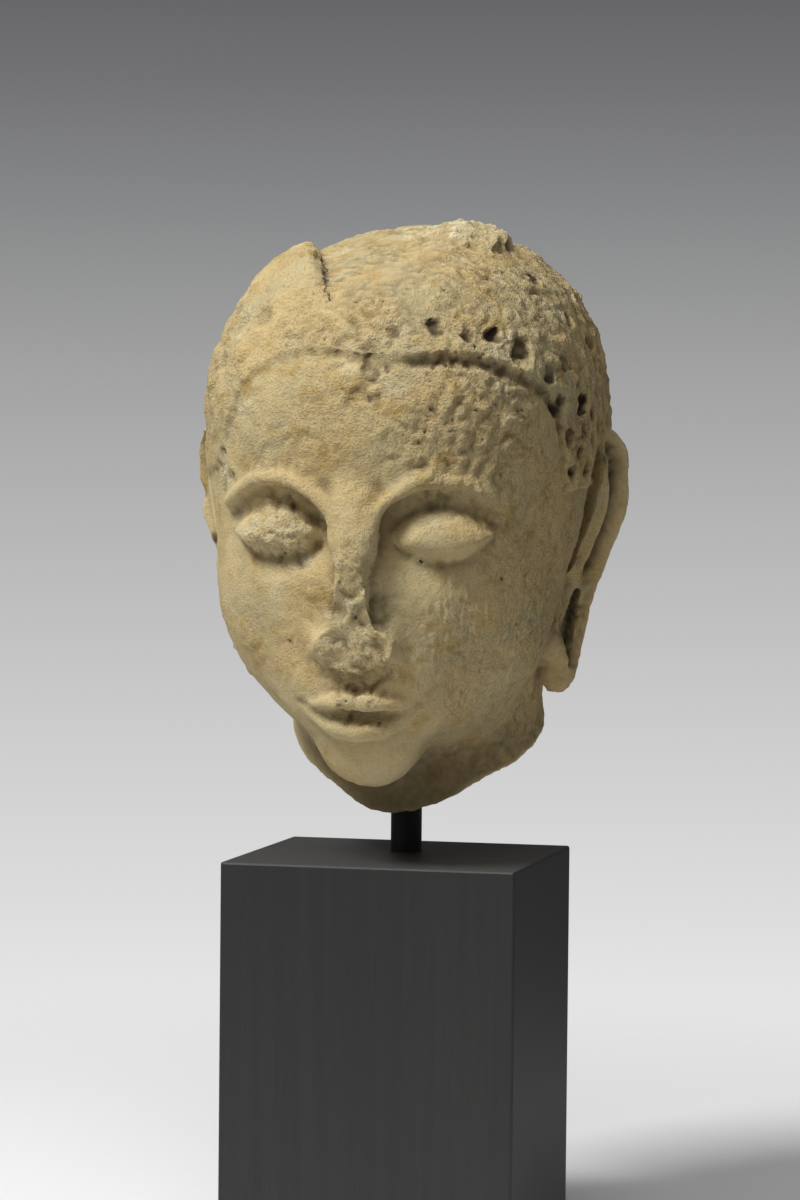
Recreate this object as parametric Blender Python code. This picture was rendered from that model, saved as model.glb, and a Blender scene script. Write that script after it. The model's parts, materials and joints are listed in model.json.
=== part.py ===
"""Carved stone head of a Buddha, held up by a steel rod on a wooden block.

Metres, +Z up. The origin is the middle of the block's underside, the block's front faces -Y, and the
head looks towards -Y. The carving is laid out in hundredths of the head's height, called parts here, in
the head's own frame: its origin is the middle of the head, level with the eyes, and it faces -Y too.
"""

import math

import bmesh
import bpy
import numpy as np
from mathutils import Matrix

# Driving sizes, in metres and degrees
BLOCK_WIDTH = 0.120
BLOCK_DEPTH = 0.110
BLOCK_HEIGHT = 0.160
BLOCK_EASED_EDGE = 0.0010

ROD_DIAMETER = 0.0127
ROD_SHOWN = 0.017  # from the block's top to the lowest point of the broken neck
ROD_IN_BLOCK = 0.070
ROD_IN_HEAD = 0.085  # above the lowest point of the broken neck
ROD_SET_BACK = 0.012  # the rod's axis behind the block's middle
ROD_CHAMFER = 0.0008
FIT_GAP = 0.0003  # round the rod, and at its two ends

HEAD_HEIGHT = 0.216  # crown to chin
HEAD_BOW = 12.0  # chin down
HEAD_LEAN = 0.5  # crown towards +X
HEAD_TURN = 1.2  # face towards +X
HEAD_AHEAD_OF_ROD = 0.006  # the head's middle in front of the rod's axis
HEAD_ASIDE_OF_ROD = -0.001

SURFACE_STEP = 0.85  # parts between the surface points that the head is first laid out with
HEAD_TRIANGLES = 8600
BORE_SIDES = 48

# Proportions of the head, in parts: hundredths of its height
CRANIUM = np.array([0.9, 2.0, 12.5])
NECK_RADIUS = 24.2
NECK_LOWEST = -59.0
HAIR_TILT = 38.6  # how far back from upright the whorl lies, in degrees: the hairline is level about it
HAIR_RAISE = 0.9
CURL_ANGLE = 7.6
# The hairline, as pairs of degrees: round the whorl from the forehead's middle, and down from the whorl
HAIRLINE = [(-180, 97), (-100, 104), (-75, 114), (-56, 118), (-47, 115), (-33, 103), (-23, 99), (-11, 98), (0, 100.5),
            (11, 100), (22, 97.5), (35, 97), (49, 97), (57, 100), (66, 111), (74, 117), (84, 112), (96, 104), (180, 97)]
# Pits drilled between the curls that still show: down, round, radius, depth
PITS = [(93, 7, 1.3, 0.7), (91, 17, 1.9, 1.1), (92, 25, 1.5, 0.9), (90, 32, 1.9, 1.5), (91, 40, 2.8, 2.2),
        (94, 50, 1.8, 1.1), (87, 56, 1.5, 0.9), (99, 56, 2.0, 1.7), (93, 68, 2.2, 2.4), (105, 64, 1.8, 1.5),
        (112, 71, 1.7, 1.4), (99, 95, 1.5, 1.6), (78, 99, 1.6, 1.8), (70, 75, 1.4, 1.6), (70, 61, 1.4, 1.5),
        (61, 49, 1.3, 1.3), (110, 5, 2.0, 0.7), (103, 3, 2.3, 0.8)]
# Scoops worn into the curls beside the -X temple: down, round, half width, half length, depth
SCOOPS = [(85, -38, 2.6, 4.4, 1.1), (93, -30, 2.2, 3.4, 0.8), (86, -29, 2.6, 3.6, 1.2), (91, -22, 2.0, 3.2, 0.7),
          (95, -43, 2.2, 3.4, 0.8)]
SLAB_RAISE = 1.2  # of the crown on the -X side of its crack
CROWN_WORN = 1.9  # how much lower it is at the crack and beyond

# The ear, in parts from its front edge: back and outwards, then up
EAR_PLACE = np.array([33.0, -1.5, 0])
EAR_TURN = 38.0  # how far the ear's face turns to the front, in degrees
EAR_OUTLINE = [(-4.0, 7.5), (-2.0, 10.8), (3.5, 12.6), (9.5, 12.0), (13.4, 8.6), (14.6, 2.0), (13.6, -6.0),
               (11.0, -14.0), (9.2, -21.0), (8.6, -29.0), (7.6, -35.6), (4.4, -39.0), (0.2, -37.6), (-1.8, -31.0),
               (-2.0, -20.0), (-6.0, -12.0), (-8.0, 0.0)]


# Building blocks of the carving: signed distances, negative inside
def ellipsoid(p, centre, radii, power=2.0):
    """Squarer than an ellipsoid with a power above 2."""
    q = np.abs(p - np.array(centre)) / np.array(radii)
    scaled = np.maximum((q**power).sum(axis=1), 1e-12) ** (1 / power)
    slope = (q / scaled[:, None]) ** (power - 1) / np.array(radii)
    return (scaled - 1) / np.maximum(np.linalg.norm(slope, axis=1), 1e-9)


def strand(p, points, radii):
    """A round cord through the points, with its own radius at each."""
    points = np.asarray(points, float)
    nearest = np.full(len(p), 1e9)
    for a, b, radius_a, radius_b in zip(points, points[1:], radii, radii[1:]):
        along = b - a
        share = np.clip(((p - a) @ along) / (along @ along), 0, 1)
        away = np.linalg.norm(p - a - share[:, None] * along, axis=1)
        nearest = np.minimum(nearest, away - radius_a - share * (radius_b - radius_a))
    return nearest


def join(a, b, blend):
    """Both solids, with a fillet of about this width where they meet."""
    overlap = np.maximum(blend - np.abs(a - b), 0) / blend
    return np.minimum(a, b) - overlap * overlap * blend / 4


def carve(a, b, blend):
    """The first solid with the second taken away."""
    return -join(-a, b, blend)


def step(value, low, high):
    """0 below low, 1 above high, and a smooth rise between them."""
    t = np.clip((value - low) / (high - low), 0, 1)
    return t * t * (3 - 2 * t)


def both_sides(p):
    """The points folded onto the +X half, for what the left and right have alike."""
    return np.column_stack([np.abs(p[:, 0]), p[:, 1], p[:, 2]])


# The head without its features
def bare_head(p):
    half = both_sides(p)
    shape = ellipsoid(p, CRANIUM, (36.5, 42.5, 36.2), 2.4)
    shape = join(shape, ellipsoid(p, (0, -10.5, -12.5), (31.0, 31.5, 35.6)), 8.0)
    shape = join(shape, ellipsoid(half, (13.5, -22.0, -14.5), (14.5, 16.0, 15.5)), 9.0)
    shape = join(shape, ellipsoid(p, (0, -34.0, -28.5), (15.0, 9.6, 11.0)), 8.0)
    return join(shape, ellipsoid(p, (0, -33.0, -40.8), (8.5, 8.2, 7.0)), 7.0)


def front_of(x, z):
    """How far forward, as y, the bare head's face lies at these places."""
    x, z = np.broadcast_arrays(np.asarray(x, float), np.asarray(z, float))
    outside, inside = np.full(x.shape, -70.0), np.zeros(x.shape)
    for _ in range(18):
        middle = (outside + inside) / 2
        within = bare_head(np.column_stack([x, middle, z])) < 0
        inside = np.where(within, middle, inside)
        outside = np.where(within, outside, middle)
    return (outside + inside) / 2


def smooth_run(points, per_span=5):
    """More points between these, on a Catmull-Rom curve through them."""
    points = np.array(points, float)
    padded = np.vstack([2 * points[0] - points[1], points, 2 * points[-1] - points[-2]])
    run = []
    for a, b, c, d in zip(padded, padded[1:], padded[2:], padded[3:]):
        for t in np.arange(per_span) / per_span:
            run.append(0.5 * (2 * b + (c - a) * t + (2 * a - 5 * b + 4 * c - d) * t**2 + (3 * b - 3 * c + d - a) * t**3))
    return np.array(run + [points[-1]])


def on_face(places):
    """A smooth run of points and radii from (x, z, lift, radius): lift is how far each stands before the bare head."""
    x, z, lift, radius = smooth_run(places).T
    return np.column_stack([x, front_of(x, z) - lift, z]), radius


BROW = [(2.6, -1.0, 0.6, 1.6), (3.6, 4.0, 0.6, 1.5), (6.8, 8.2, 0.5, 1.3), (13.0, 11.0, 0.3, 1.2),
        (20.0, 9.8, 0.0, 1.1), (25.5, 5.0, -0.4, 1.0)]
EYE = (14.4, 0.4)
EYE_RADII = (9.4, 6.6, 5.2)
EYE_STANDS = 1.9  # how far the eye stands before the bare head
LID_STEP = 0.6
NOSE = [(0, 7.0, -1.2, 3.0), (0, 0.0, 1.2, 2.9), (0, -10.0, 3.4, 3.4), (0, -17.0, 4.6, 4.4), (0, -19.5, 4.0, 4.0)]
UPPER_LIP = [(10.4, -30.6, -0.6, 0.4), (6.5, -29.6, 0.2, 1.3), (2.4, -28.6, 0.9, 1.8), (0, -29.2, 0.9, 1.6)]
LOWER_LIP = [(9.2, -32.4, -0.8, 0.6), (5.0, -34.0, 0.2, 1.8), (0, -34.6, 0.6, 2.2)]
MOUTH_LINE = [(11.6, -30.2, 0.4, 0.8), (8.0, -31.4, 1.2, 0.6), (4.0, -31.5, 1.9, 0.5), (0, -32.0, 2.2, 0.45)]


def face_features():
    """Where the strands of the face run, worked out once from the bare head."""
    eye_y = front_of([EYE[0]], [EYE[1]])[0] + EYE_RADII[1] - EYE_STANDS
    return {
        "brow": on_face(BROW),
        "nose": on_face(NOSE),
        "upper_lip": on_face(UPPER_LIP),
        "lower_lip": on_face(LOWER_LIP),
        "mouth_line": on_face(MOUTH_LINE),
        "eye": (EYE[0], eye_y, EYE[1]),
        "ear": closed_run(EAR_OUTLINE),
    }


def almond(p, centre, radii):
    """An eye's ball, drawn to a point at its two ends."""
    across = np.clip((p[:, 0] - centre[0]) / (radii[0] * 1.08), -1, 1)
    narrow = np.maximum(1 - across * across, 0.05) ** 0.45
    stretched = np.column_stack([p[:, 0], p[:, 1], centre[2] + (p[:, 2] - centre[2]) / narrow])
    return ellipsoid(stretched, centre, radii) * narrow


def eyelid_line(x, height, sag):
    """Height of a lid's edge across the eye."""
    across = (x - EYE[0]) / EYE_RADII[0]
    return EYE[1] + height + sag * (1 - across * across)


def eyes(shape, p, eye):
    half = both_sides(p)
    socket = ellipsoid(half, (EYE[0] - 1.0, eye[1] - EYE_RADII[1] - 1.2, EYE[1] + 2.2), (12.0, 4.6, 7.0))
    shape = carve(shape, socket, 5.0)
    shape = join(shape, almond(half, eye, EYE_RADII), 1.0)
    # The lids of the -X eye are worn almost flat
    lid = almond(half, eye, np.array(EYE_RADII) + LID_STEP) + 0.5 * step(-p[:, 0], 0, 1)
    upper = np.maximum(lid, eyelid_line(half[:, 0], -0.4, -1.6) - half[:, 2])
    lower = np.maximum(lid + 0.35, half[:, 2] - eyelid_line(half[:, 0], -0.6, -1.6))
    return join(join(shape, upper, 0.6), lower, 0.6)


def nose(shape, p, half, features):
    points, radii = features["nose"]
    bridge = strand(p, points, radii)
    tip_y = points[-1][1]
    wing = ellipsoid(half, (4.6, tip_y + 3.6, -18.6), (3.6, 4.6, 3.4))
    whole = join(bridge, wing, 2.5)
    # The nose is broken off unevenly, from under the bridge to above the lip
    broken = (tip_y + 0.9 - 0.03 * (p[:, 2] + 19.5) + 0.6 * ripples(p, 9.0)) - p[:, 1]
    whole = np.maximum(whole, broken)
    return join(shape, whole, 3.4)


def mouth(shape, half, features):
    shape = join(shape, strand(half, *features["upper_lip"]), 1.2)
    shape = join(shape, strand(half, *features["lower_lip"]), 1.6)
    return carve(shape, strand(half, *features["mouth_line"]), 1.0)


def neck(shape, p):
    post = np.hypot(p[:, 0] - 0.8, p[:, 1] - 4.0) - NECK_RADIUS
    return join(shape, np.maximum(post, p[:, 2] + 12), 5.0)


def broken_neck(p):
    """Height of the neck's broken underside: lowest a little to the -X side of the front."""
    aside = p[:, 0] + 1.0
    rise = 0.52 * softened(-aside, 2.5) + 0.34 * softened(aside, 4.0)
    return NECK_LOWEST + rise + 0.10 * (p[:, 1] + 20.0) + 0.7 * ripples(p, 16.0) + 0.2 * ripples(p, 5.0)


# The hair
def hair_angles(p):
    """Degrees down from the whorl at the back of the crown, and round it from the forehead's middle."""
    away = p - CRANIUM
    tilt = math.radians(HAIR_TILT)
    up = away[:, 1] * math.sin(tilt) + away[:, 2] * math.cos(tilt)
    front = away[:, 2] * math.sin(tilt) - away[:, 1] * math.cos(tilt)
    return (np.degrees(np.arctan2(np.hypot(away[:, 0], front), up)),
            np.degrees(np.arctan2(away[:, 0], front)))


def hair_direction(down, around):
    """The way out from the cranium's middle at these hair angles."""
    tilt, down, around = math.radians(HAIR_TILT), math.radians(down), math.radians(around)
    front, up = math.sin(down) * math.cos(around), math.cos(down)
    return np.array([math.sin(down) * math.sin(around),
                     up * math.sin(tilt) - front * math.cos(tilt),
                     up * math.cos(tilt) + front * math.sin(tilt)])


def hollow(p, down, around, half_width, half_length, depth, flat=0.0):
    """A worn or drilled hollow, as wide round the whorl and as long down from it as told, flat in its middle."""
    axis = hair_direction(down, around)
    along = np.cross(np.cross(axis, [0, math.sin(math.radians(HAIR_TILT)), math.cos(math.radians(HAIR_TILT))]), axis)
    along /= np.linalg.norm(along)
    across = np.cross(axis, along)
    away = p - CRANIUM
    reach = np.hypot(away @ across / half_width, away @ along / half_length) + 0.16 * ripples(p, 4.6)
    return depth * (1 - step(reach, flat, 1.0)) * (away @ axis > 0)


def hair(p):
    """How far the hair stands out from the bare head, less the hollows in it."""
    down, around = hair_angles(p)
    hairline = np.interp(around, *zip(*HAIRLINE))
    inside = hairline - down
    raised = HAIR_RAISE * step(inside, -1.2, 1.2)
    undercut = 0.6 * np.exp(-((inside + 1.6) / 1.3) ** 2) * step(around, 2, 14) * (1 - step(around, 58, 66))
    # Pits in uneven rings about the whorl, with the worn curls standing between them; all worn away on top
    down = down + 1.5 * ripples(p, 21.0)
    ring = np.round(down / CURL_ANGLE)
    count = np.maximum(np.round(360 * np.sin(np.radians(ring * CURL_ANGLE)) / CURL_ANGLE), 1)
    column = around / 360 * count + 0.5 * (ring % 2) + 0.22 * ripples(p, 17.0)
    reach = np.hypot(column - np.round(column), 0.8 * (down / CURL_ANGLE - ring))
    worn = (step(around, 58, 82) + step(-around, 80, 100)) * step(down, 30, 52) * step(inside, 1, 4)
    pits = (0.9 * (1 - step(reach, 0.1, 0.34)) - 0.25 * step(reach, 0.3, 0.5)) * worn
    height = raised - undercut - pits + crown_wear(p)
    for down_at, around_at, radius, depth in PITS:
        height = height - hollow(p, down_at, around_at, radius, 1.25 * radius, depth, 0.3)
    for scoop in SCOOPS:
        height = height - hollow(p, *scoop)
    return height


def crown_wear(p):
    """The crown dips to a crack from its -X side, which stands a little proud, and is worn on the other side."""
    beside = p[:, 0] + 14.5 + 0.285 * p[:, 1]
    shoulder = 1 - (1 - np.clip(-beside / 4.0, 0, 1)) ** 2
    proud = (SLAB_RAISE + CROWN_WORN - 0.3) * shoulder + 0.3 * step(-beside, -0.3, 0.3)
    worn = CROWN_WORN * (1 - step(beside, 4, 26)) + SLAB_RAISE * step(-beside, 9, 22)
    return (proud - worn) * step(p[:, 2], 36, 43) * step(p[:, 1], -34, -24) * (1 - step(p[:, 1], 8, 24))


def crown_break(shape, p):
    """The low rough stump of the broken knot of hair on the crown."""
    stump = ellipsoid(p, (11.2, 6.0, 46.6), (9.4, 11.0, 4.3)) - 0.4 * ripples(p, 4.0)
    return join(shape, stump, 1.0)


# The ears
def outline_distance(u, v, outline):
    """Distance from a closed outline, negative inside it."""
    nearest = np.full(len(u), 1e9)
    inside = np.zeros(len(u), bool)
    for (u0, v0), (u1, v1) in zip(outline, np.roll(outline, -1, axis=0)):
        run, rise = u1 - u0, v1 - v0
        share = np.clip(((u - u0) * run + (v - v0) * rise) / (run * run + rise * rise), 0, 1)
        nearest = np.minimum(nearest, np.hypot(u - u0 - share * run, v - v0 - share * rise))
        crosses = (v0 > v) != (v1 > v)
        inside ^= crosses & (u < u0 + (v - v0) / (rise if rise else 1e-9) * run)
    return np.where(inside, -nearest, nearest)


def closed_run(points, per_span=4):
    """A closed Catmull-Rom curve through the points."""
    wrapped = points[-2:] + points + points[:2]
    run = smooth_run(wrapped, per_span)
    return run[2 * per_span:-2 * per_span][:-1]


def ridge(value, middle, half_width):
    return np.exp(-((value - middle) / half_width) ** 2)


def ear(p, other, outline):
    """An ear on the +X side, long in the lobe and carved in one with the head. The other one stands out
    more, and has lost its rim and the end of its lobe."""
    turn = math.radians(EAR_TURN)
    away = p - EAR_PLACE
    away[:, 0] += np.where(other, 0.1, 0.2) * np.minimum(softened(-4 - away[:, 2], 3.0), 26) - other * 1.0
    u = away[:, 0] * math.sin(turn) + away[:, 1] * math.cos(turn)
    w = away[:, 0] * math.cos(turn) - away[:, 1] * math.sin(turn)
    v = away[:, 2]
    edge = outline_distance(u, v, outline)
    inwards = -edge
    upper = step(v, -19, -12)
    rim = 1.1 * (1 - 0.8 * step(-v, 29, 35))
    relief = rim * ridge(inwards, 1.3, 1.4) - 1.5 * ridge(inwards, 4.0, 1.2) * upper * (1 - step(v, 8, 11))
    relief = relief + 0.9 * ridge(inwards, 6.4, 1.2) * upper
    face = w - relief
    back = -w - 3.2 - step(v, -24, -14) * np.clip(0.75 * inwards, 0, 9)
    lost = other * (1.2 + 0.7 * ripples(p, 7.0))
    plate = carve(np.maximum(face, back), inwards - lost, 1.6)
    plate = np.where(other, np.maximum(plate, -32.5 + 0.8 * ripples(p, 6.0) - v), plate)
    plane = np.column_stack([u, v, np.zeros(len(u))])
    shell = strand(plane, [(3.4, 6.0, 0), (2.4, -2.0, 0), (0.4, -13.5, 0)], (3.6, 3.3, 0.9))
    slit = strand(plane, [(4.6, -19.5, 0), (3.9, -25.0, 0), (3.4, -31.0, 0)], (0.8, 1.7, 1.9))
    return plate, np.maximum(shell, -5.5 - w), np.maximum(slit, -2.4 - w)


def ears(shape, p, outline):
    half = both_sides(p)
    near = (half[:, 0] > 20) & (half[:, 1] > -22) & (half[:, 1] < 30) & (half[:, 2] < 22)
    plate, shell, slit = (np.full(len(p), 40.0) for _ in range(3))
    if near.any():
        plate[near], shell[near], slit[near] = ear(half[near], p[near, 0] < 0, outline)
    web = strand(half, [(25.0, -4.0, -24.0), (29.5, -1.5, -31.0), (30.0, 0.5, -35.0)], (3.6, 2.9, 2.2))
    shape = join(shape, join(plate, web, 2.0), 1.6)
    return carve(carve(shape, shell, 0.7), slit, 0.7)


# Wear
def softened(value, blend):
    """0 below nothing and rising evenly above it, with a soft bend."""
    return (value + np.sqrt(value * value + blend * blend)) / 2


def ripples(p, length):
    """Uneven hollows and swellings of about this length, between -1 and 1."""
    k = 2 * math.pi / length
    return (np.sin(k * (0.71 * p[:, 0] + 0.53 * p[:, 2]) + 1.3) * np.sin(k * (0.62 * p[:, 1] - 0.44 * p[:, 0]) + 0.4)
            + np.sin(k * 1.7 * (0.66 * p[:, 2] - 0.31 * p[:, 1]) + 2.1) * np.sin(k * 1.7 * 0.72 * p[:, 0])) / 2


def head_solid(p, features):
    half = both_sides(p)
    shape = neck(bare_head(p) - hair(p), p)
    shape = crown_break(shape, p)
    shape = eyes(shape, p, features["eye"])
    shape = join(shape, strand(half, *features["brow"]), 2.6)
    shape = nose(shape, p, half, features)
    shape = mouth(shape, half, features)
    shape = ears(shape, p, features["ear"])
    return np.maximum(shape, broken_neck(p) - p[:, 2])


# From the distances to a mesh
CORNERS = np.array([(x, y, z) for x in (0, 1) for y in (0, 1) for z in (0, 1)])
NEIGHBOURS = np.array([(x, y, z) for x in (-1, 0, 1) for y in (-1, 0, 1) for z in (-1, 0, 1)])
BAND = 4.0  # cells nearer the surface than this many widths are halved


def plain_patterns():
    """For each of a cell's 256 patterns of corners inside: whether those inside, and those outside, hang together."""
    def together(corners):
        reached, edge = set(), corners[:1]
        while edge:
            reached.update(edge)
            edge = [c ^ bit for c in edge for bit in (1, 2, 4) if c ^ bit in corners and c ^ bit not in reached]
        return len(reached) == len(corners)
    patterns = [[c for c in range(8) if number >> c & 1] for number in range(256)]
    return np.array([together(inside) and together([c for c in range(8) if c not in inside]) for inside in patterns])


def surface_net(solid, low, high, width, halvings):
    """Points and four-sided faces that close round the solid, one point for each cell its surface crosses."""
    low = np.array(low, float)
    coarse = width * 2**halvings
    counts = np.ceil((np.array(high) - low) / coarse).astype(int)
    cells = np.stack(np.meshgrid(*[np.arange(n) for n in counts], indexing="ij"), -1).reshape(-1, 3)
    for level in range(halvings + 1):
        size = coarse / 2**level
        near = BAND if level < halvings else 1.0
        cells = cells[np.abs(solid(low + (cells + 0.5) * size)) < near * size]
        if level < halvings:
            cells = (2 * cells[:, None, :] + CORNERS).reshape(-1, 3)
    # From there the surface is followed: every cell beside a crossed one is looked into as well
    shape = tuple(counts * 2**halvings + 1)
    heights, listed = np.full(shape, np.nan), np.zeros(shape, bool)
    every, fresh = [], cells
    listed[tuple(cells.T)] = True
    while len(fresh):
        every.append(fresh)
        nodes = tuple((fresh[:, None, :] + CORNERS).reshape(-1, 3).T)
        unknown = np.unique(np.ravel_multi_index(nodes, shape)[np.isnan(heights[nodes])])
        unknown = np.stack(np.unravel_index(unknown, shape), axis=1)
        heights[tuple(unknown.T)] = solid(low + unknown * width)
        within = (heights[nodes] < 0).reshape(-1, 8)
        crossed = fresh[within.any(axis=1) & ~within.all(axis=1)]
        beside = tuple((crossed[:, None, :] + NEIGHBOURS).reshape(-1, 3).T)
        beside = np.unique(np.ravel_multi_index(beside, shape)[~listed[beside]])
        fresh = np.stack(np.unravel_index(beside, shape), axis=1)
        listed[tuple(fresh.T)] = True
    cells = np.concatenate(every)
    nodes = tuple((cells[:, None, :] + CORNERS).reshape(-1, 3).T)
    # A cell that two pieces of surface would pass through is filled, so that the mesh stays one closed skin
    plain = plain_patterns()
    for _ in range(20):
        values = heights[nodes].reshape(-1, 8)
        doubtful = ~plain[(values < 0) @ (1 << np.arange(8))]
        if not doubtful.any():
            break
        filled = tuple((cells[doubtful][:, None, :] + CORNERS).reshape(-1, 3).T)
        heights[filled] = np.minimum(heights[filled], -0.2 * width)
    within = values < 0
    crossed = within.any(axis=1) & ~within.all(axis=1)
    cells, values, within = cells[crossed], values[crossed], within[crossed]
    total, found = np.zeros((len(cells), 3)), np.zeros(len(cells))
    for a in range(8):
        for bit in (4, 2, 1):
            if a & bit:
                continue
            b = a | bit
            cut = within[:, a] != within[:, b]
            share = values[:, a] / np.where(cut, values[:, a] - values[:, b], 1)
            total += np.where(cut[:, None], CORNERS[a] + share[:, None] * (CORNERS[b] - CORNERS[a]), 0)
            found += cut
    points = low + (cells + total / found[:, None]) * width
    number = np.zeros(shape, int)
    number[tuple(cells.T)] = np.arange(len(cells))
    faces = []
    for axis, bit in ((0, 4), (1, 2), (2, 1)):
        cut = np.nonzero(within[:, 0] != within[:, bit])[0]
        one, two = np.eye(3, dtype=int)[[(axis + 1) % 3, (axis + 2) % 3]]
        quads = np.stack([number[tuple((cells[cut] - shift).T)] for shift in (0 * one, one, one + two, two)], axis=1)
        inwards = within[cut, 0]
        quads[~inwards] = quads[~inwards][:, ::-1]
        faces.append(quads)
    return points, np.concatenate(faces)


def head_surface(width, halvings):
    features = face_features()
    solid = lambda p: head_solid(p, features)
    points, faces = surface_net(solid, (-46, -52, -63), (46, 50, 56), width, halvings)
    # Each point is drawn onto the surface along its slope
    nudge = 0.05 * width
    height = solid(points)
    slope = np.stack([(solid(points + nudge * axis) - height) / nudge for axis in np.eye(3)], axis=1)
    shift = -slope * (height / np.maximum((slope**2).sum(axis=1), 0.25))[:, None]
    return points + np.clip(shift, -0.4 * width, 0.4 * width), faces


# Placing, and the mount
def head_pose():
    """Turns the head's parts into metres in its own frame, bowed, leaned and turned."""
    turned = (Matrix.Rotation(math.radians(HEAD_TURN), 4, "Z") @ Matrix.Rotation(math.radians(HEAD_LEAN), 4, "Y")
              @ Matrix.Rotation(math.radians(HEAD_BOW), 4, "X"))
    return turned @ Matrix.Scale(HEAD_HEIGHT / 100, 4)


def placed_head(points):
    """The head's points in metres, its broken neck's lowest point ROD_SHOWN above the block."""
    turned = points @ np.array(head_pose())[:3, :3].T
    rise = BLOCK_HEIGHT + ROD_SHOWN - turned[:, 2].min()
    return turned + np.array([HEAD_ASIDE_OF_ROD, ROD_SET_BACK - HEAD_AHEAD_OF_ROD, rise])


def rod_cylinder(diameter, bottom, top, chamfer=0.0):
    mesh = bmesh.new()
    bmesh.ops.create_cone(mesh, cap_ends=True, segments=BORE_SIDES, radius1=diameter / 2, radius2=diameter / 2,
                          depth=top - bottom)
    if chamfer:
        rims = [e for e in mesh.edges if e.verts[0].co.z * e.verts[1].co.z > 0]
        bmesh.ops.bevel(mesh, geom=rims, offset=chamfer, segments=1, affect="EDGES")
    bmesh.ops.translate(mesh, verts=mesh.verts[:], vec=(0, ROD_SET_BACK, (top + bottom) / 2))
    return mesh


def block_mesh():
    mesh = bmesh.new()
    bmesh.ops.create_cube(mesh, size=1.0)
    bmesh.ops.scale(mesh, verts=mesh.verts[:], vec=(BLOCK_WIDTH, BLOCK_DEPTH, BLOCK_HEIGHT))
    bmesh.ops.bevel(mesh, geom=mesh.edges[:], offset=BLOCK_EASED_EDGE, segments=2, profile=0.5, affect="EDGES")
    bmesh.ops.translate(mesh, verts=mesh.verts[:], vec=(0, 0, BLOCK_HEIGHT / 2))
    return mesh


def head_mesh():
    points, faces = head_surface(SURFACE_STEP, 3)
    data = bpy.data.meshes.new("head")
    data.from_pydata(placed_head(points).tolist(), [], faces.tolist())
    mesh = bmesh.new()
    mesh.from_mesh(data)
    bpy.data.meshes.remove(data)
    return mesh


def material(name, colour, roughness):
    made = bpy.data.materials.new(name)
    made.use_nodes = True
    shader = made.node_tree.nodes["Principled BSDF"]
    shader.inputs["Base Color"].default_value = (*colour, 1)
    shader.inputs["Roughness"].default_value = roughness
    shader.inputs["Metallic"].default_value = 0.0
    made.diffuse_color = (*colour, 1)
    return made


def named_object(name, mesh, collection, surface=None):
    data = bpy.data.meshes.new(name)
    mesh.to_mesh(data)
    mesh.free()
    made = bpy.data.objects.new(name, data)
    if surface:
        data.materials.append(surface)
    collection.objects.link(made)
    return made


def cutter(name, mesh, collection):
    made = named_object(name, mesh, collection)
    made.hide_render = True
    made.display_type = "WIRE"
    return made


def bored(piece, tool):
    cut = piece.modifiers.new("Bore for the rod", "BOOLEAN")
    cut.operation = "DIFFERENCE"
    cut.solver = "EXACT"
    cut.object = tool


def main():
    for old in list(bpy.data.objects):
        bpy.data.objects.remove(old)
    collection = bpy.data.collections.new("Buddha head sculpture")
    tools = bpy.data.collections.new("Cutters")
    for made in (collection, tools):
        bpy.context.scene.collection.children.link(made)

    neck_bottom = BLOCK_HEIGHT + ROD_SHOWN
    rod_bottom, rod_top = BLOCK_HEIGHT - ROD_IN_BLOCK, neck_bottom + ROD_IN_HEAD
    bore = ROD_DIAMETER + 2 * FIT_GAP

    head = named_object("head", head_mesh(), collection, material("carved_stone", (0.48, 0.39, 0.26), 0.85))
    fewer = head.modifiers.new("Fewer triangles", "DECIMATE")
    fewer.ratio = HEAD_TRIANGLES / (2 * len(head.data.polygons))
    bored(head, cutter("rod_bore_in_head", rod_cylinder(bore, neck_bottom - 0.02, rod_top + FIT_GAP), tools))

    rod_mesh = rod_cylinder(ROD_DIAMETER, rod_bottom, rod_top, ROD_CHAMFER)
    named_object("mount_rod", rod_mesh, collection, material("black_painted_steel", (0.012, 0.012, 0.013), 0.4))

    block = named_object("plinth_block", block_mesh(), collection, material("dark_stained_wood", (0.03, 0.029, 0.027), 0.5))
    bored(block, cutter("rod_bore_in_block", rod_cylinder(bore, rod_bottom - FIT_GAP, BLOCK_HEIGHT + 0.02), tools))


if __name__ == "__main__":
    main()
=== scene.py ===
import json
import math

import bpy
import numpy as np
from mathutils import Matrix, Vector

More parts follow.
